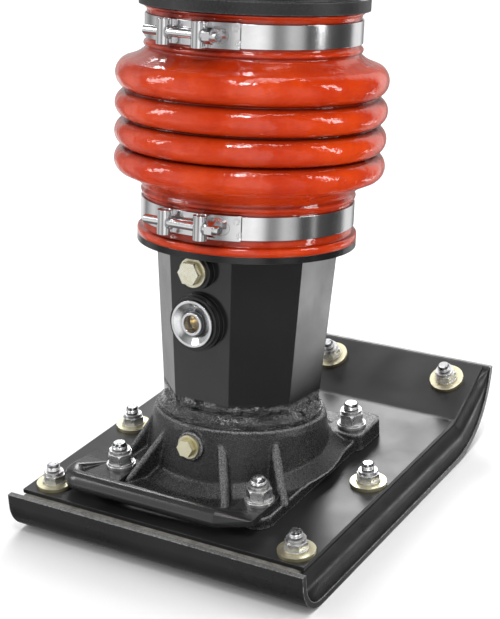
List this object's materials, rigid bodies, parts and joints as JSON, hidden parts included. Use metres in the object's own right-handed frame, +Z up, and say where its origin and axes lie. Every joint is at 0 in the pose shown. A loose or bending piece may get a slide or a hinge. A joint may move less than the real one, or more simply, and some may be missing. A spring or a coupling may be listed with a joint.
{
  "type": "jumping jack rammer",
  "caption": "Upright percussion rammer: a flat shoe with an upturned toe, an eight-sided leaning leg, a ribbed bellows, a crankcase, a small engine and a loop handle.",
  "frame": {"origin": "floor point just below where the leaned percussion axis enters the sole", "axes": "+X to the machine's right, +Y in the direction of travel, towards the shoe's toe, +Z up"},
  "size_m": [0.413, 0.5315, 1.0322],
  "materials": {
    "black_steel": "satin black paint",
    "core_plastic": "matt moulded plastic",
    "zinc_steel": "bright zinc plate",
    "yellow_zinc": "yellow zinc plate",
    "stainless": "brushed stainless strip",
    "black_iron": "rough cast, painted black",
    "black_aluminium": "cast, painted black",
    "bellows_orange": "glossy moulded urethane",
    "machined_steel": "machined and oiled",
    "spring_steel": "oiled spring steel",
    "sight_lens": "clear",
    "brass": "bright",
    "bearing_steel": "ground",
    "cast_aluminium": "die cast, bare",
    "black_plastic": "moulded, fine texture",
    "exhaust_steel": "heat stained",
    "black_rubber": "matt",
    "tank_plastic": "glossy moulded polyethylene",
    "clutch_lining": "friction lining",
    "lever_red": "glossy",
    "ceramic": "moulded rubber boot"
  },
  "bodies": {
    "base": {"sole_plate": "black_steel", "shoe_core": "core_plastic", "shoe_top_plate": "black_steel", "shoe_bolts": "zinc_steel", "shoe_washers": "yellow_zinc", "shoe_nuts": "zinc_steel", "foot_casting": "black_iron", "foot_studs": "zinc_steel", "foot_washers": "zinc_steel", "foot_nuts": "zinc_steel", "carry_handle": "black_steel", "drain_plug": "yellow_zinc", "level_plug": "yellow_zinc", "leg_housing": "black_steel", "sight_glass_body": "machined_steel", "sight_glass_lens": "sight_lens", "sight_glass_reflector": "brass", "bellows": "bellows_orange", "lower_clamp_band": "stainless", "lower_clamp_trunnions": "stainless", "lower_clamp_bolt": "stainless", "spring_cylinder": "machined_steel", "spring_cylinder_cap": "machined_steel", "upper_springs": "spring_steel", "lower_springs": "spring_steel"},
    "machine": {"upper_clamp_band": "stainless", "upper_clamp_trunnions": "stainless", "upper_clamp_bolt": "stainless", "guide_cylinder": "machined_steel", "crankcase": "black_aluminium", "crankcase_cover": "black_aluminium", "crankcase_bolts": "zinc_steel", "crank_bearings": "bearing_steel", "drum_bearings": "bearing_steel", "engine_block": "cast_aluminium", "engine_cylinder": "cast_aluminium", "rocker_cover": "black_plastic", "starter_housing": "black_plastic", "muffler": "exhaust_steel", "muffler_guard": "black_steel", "carburetor": "cast_aluminium", "air_cleaner": "black_plastic", "spark_plug": "ceramic", "handle_mounts": "black_rubber"},
    "piston": {"piston": "machined_steel", "piston_rod": "machined_steel"},
    "crank_gear": {"crank_gear": "machined_steel"},
    "con_rod": {"con_rod": "machined_steel"},
    "clutch_drum": {"clutch_drum": "machined_steel"},
    "engine_shaft": {"engine_shaft": "machined_steel", "clutch_shoes": "clutch_lining"},
    "starter_grip": {"starter_grip": "black_plastic"},
    "choke_lever": {"choke_lever": "machined_steel"},
    "handle": {"handle_frame": "black_steel", "handle_grips": "black_rubber", "fuel_tank": "tank_plastic"},
    "roller": {"handle_roller": "black_rubber"},
    "throttle": {"throttle_lever": "lever_red"},
    "fuel_cap": {"fuel_cap": "black_plastic"},
    "fuel_tap": {"fuel_tap": "lever_red"}
  },
  "joints": [
    {"name": "percussion_slide", "type": "slide", "parent": "base", "child": "machine", "axis": [0, 0.1616, 0.9869], "range_m": [-0.03, 0.035], "stiffness_N_per_m": 60000, "springref_m": 0.008, "deforming": ["bellows"]},
    {"name": "piston_slide", "type": "slide", "parent": "machine", "child": "piston", "axis": [0, 0.1616, 0.9869], "range_m": [0, 0.07], "deforming": ["upper_springs", "lower_springs"]},
    {"name": "crank_spin", "type": "hinge", "parent": "machine", "child": "crank_gear", "pos_m": [0, 0.15375, 0.57311], "axis": [0, 0.9869, -0.1616], "continuous": true},
    {"name": "con_rod_pivot", "type": "hinge", "parent": "crank_gear", "child": "con_rod", "pos_m": [0, 0.08888, 0.54827], "axis": [0, 0.9869, -0.1616], "continuous": true},
    {"name": "drum_spin", "type": "hinge", "parent": "machine", "child": "clutch_drum", "pos_m": [0, 0.11968, 0.67445], "axis": [0, 0.9869, -0.1616], "continuous": true},
    {"name": "engine_spin", "type": "hinge", "parent": "machine", "child": "engine_shaft", "pos_m": [0, -0.03822, 0.70031], "axis": [0, 0.9869, -0.1616], "continuous": true},
    {"name": "starter_pull", "type": "slide", "parent": "machine", "child": "starter_grip", "axis": [0, 0.1616, 0.9869], "range_m": [0, 0.5], "stiffness_N_per_m": 12, "springref_m": -0.5},
    {"name": "choke_pivot", "type": "hinge", "parent": "machine", "child": "choke_lever", "pos_m": [0.078, -0.0013, 0.81434], "axis": [0, 0.9869, -0.1616], "range_deg": [0, 60]},
    {"name": "handle_tilt", "type": "hinge", "parent": "machine", "child": "handle", "pos_m": [0, 0.10343, 0.63709], "axis": [1, 0, 0], "range_deg": [-6, 6], "stiffness_Nm_per_rad": 900},
    {"name": "roller_spin", "type": "hinge", "parent": "handle", "child": "roller", "pos_m": [0, 0.24, 0.88325], "axis": [1, 0, 0], "continuous": true},
    {"name": "throttle_pivot", "type": "hinge", "parent": "handle", "child": "throttle", "pos_m": [0.19, -0.14593, 0.97077], "axis": [1, 0, 0], "range_deg": [0, 60]},
    {"name": "fuel_cap_turn", "type": "hinge", "parent": "handle", "child": "fuel_cap", "pos_m": [0, 0.15091, 0.87757], "axis": [0, 0.1616, 0.9869], "range_deg": [0, 90]},
    {"name": "fuel_tap_turn", "type": "hinge", "parent": "handle", "child": "fuel_tap", "pos_m": [-0.06, 0.2092, 0.78798], "axis": [0, 0.9869, -0.1616], "range_deg": [0, 90]}
  ],
  "couplings": [
    {"joint": "con_rod_pivot", "follows": "crank_spin", "ratio": -1},
    {"joint": "drum_spin", "follows": "crank_spin", "ratio": -6}
  ]
}
